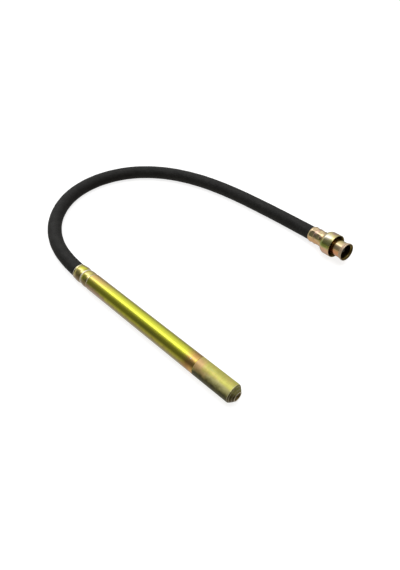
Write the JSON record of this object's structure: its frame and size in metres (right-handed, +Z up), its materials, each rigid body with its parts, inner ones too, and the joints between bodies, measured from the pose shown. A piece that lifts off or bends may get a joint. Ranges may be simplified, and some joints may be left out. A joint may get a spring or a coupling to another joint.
{
  "type": "concrete vibrator",
  "caption": "Flexible-shaft concrete poker: yellow zinc-plated steel head, black rubber hose and a drive-end stub with a cup-shaped coupling nut.",
  "frame": {"origin": "on the ground plane under the middle of the head, between the ferrule mouth and the nose face", "axes": "+X along the head to the nose, +Z up, the hose loops towards +Y"},
  "size_m": [0.6815, 0.4553, 0.0512],
  "materials": {
    "yellow_zinc_steel": "polished, yellow passivated zinc",
    "turned_zinc_steel": "turned, yellow passivated zinc",
    "bright_zinc_steel": "bright, pale yellow passivated zinc",
    "bearing_steel": "ground",
    "cage_brass": "turned",
    "machined_steel": "machined",
    "spring_steel": "blued",
    "bush_bronze": "turned",
    "hose_rubber": "matt, wrapped-cloth texture",
    "hose_braid": "braided cord in rubber",
    "seal_rubber": "smooth"
  },
  "bodies": {
    "casing": {"head_tube": "yellow_zinc_steel", "nose_cap": "turned_zinc_steel", "lock_pin": "machined_steel", "nose_o_ring": "seal_rubber", "tail_o_ring": "seal_rubber", "tail_connector": "yellow_zinc_steel", "tail_ferrule": "yellow_zinc_steel", "front_bearing_outer": "bearing_steel", "rear_bearing_outers": "bearing_steel", "bearing_spacer": "machined_steel", "snap_rings": "spring_steel", "oil_seal": "seal_rubber", "hose_jacket": "hose_rubber", "hose_braid": "hose_braid", "hose_liner": "spring_steel", "flexible_core": "spring_steel", "drive_ferrule": "bright_zinc_steel", "drive_connector": "bright_zinc_steel", "drive_stub": "bright_zinc_steel", "stub_bush": "bush_bronze", "bush_circlip": "spring_steel"},
    "rotor": {"eccentric_rotor": "machined_steel", "front_bearing_inner": "bearing_steel", "rear_bearing_inners": "bearing_steel", "core_head_fitting": "machined_steel"},
    "front_cage": {"front_bearing_cage": "cage_brass", "front_bearing_balls": "bearing_steel"},
    "rear_cages": {"rear_bearing_cages": "cage_brass", "rear_bearing_balls": "bearing_steel"},
    "core_drive": {"core_drive_fitting": "machined_steel"},
    "nut_washer": {"thrust_washer": "machined_steel"},
    "nut": {"coupling_nut": "bright_zinc_steel"}
  },
  "joints": [
    {"name": "rotor_spin", "type": "hinge", "parent": "casing", "child": "rotor", "pos_m": [0, 0, 0.0175], "axis": [1, 0, 0], "continuous": true},
    {"name": "front_cage_spin", "type": "hinge", "parent": "casing", "child": "front_cage", "pos_m": [0, 0, 0.0175], "axis": [1, 0, 0], "continuous": true},
    {"name": "rear_cage_spin", "type": "hinge", "parent": "casing", "child": "rear_cages", "pos_m": [0, 0, 0.0175], "axis": [1, 0, 0], "continuous": true},
    {"name": "core_spin", "type": "hinge", "parent": "casing", "child": "core_drive", "pos_m": [0.13516, 0.40379, 0.02778], "axis": [0.9741, -0.1842, 0.1313], "continuous": true},
    {"name": "nut_float", "type": "slide", "parent": "casing", "child": "nut_washer", "axis": [0.9741, -0.1842, 0.1313], "range_m": [-0.002, 0]},
    {"name": "nut_spin", "type": "hinge", "parent": "nut_washer", "child": "nut", "pos_m": [0.1186, 0.40693, 0.02555], "axis": [0.9741, -0.1842, 0.1313], "continuous": true}
  ],
  "couplings": [
    {"joint": "front_cage_spin", "follows": "rotor_spin", "ratio": 0.36778},
    {"joint": "rear_cage_spin", "follows": "rotor_spin", "ratio": 0.36778},
    {"joint": "core_spin", "follows": "rotor_spin", "ratio": -1}
  ]
}
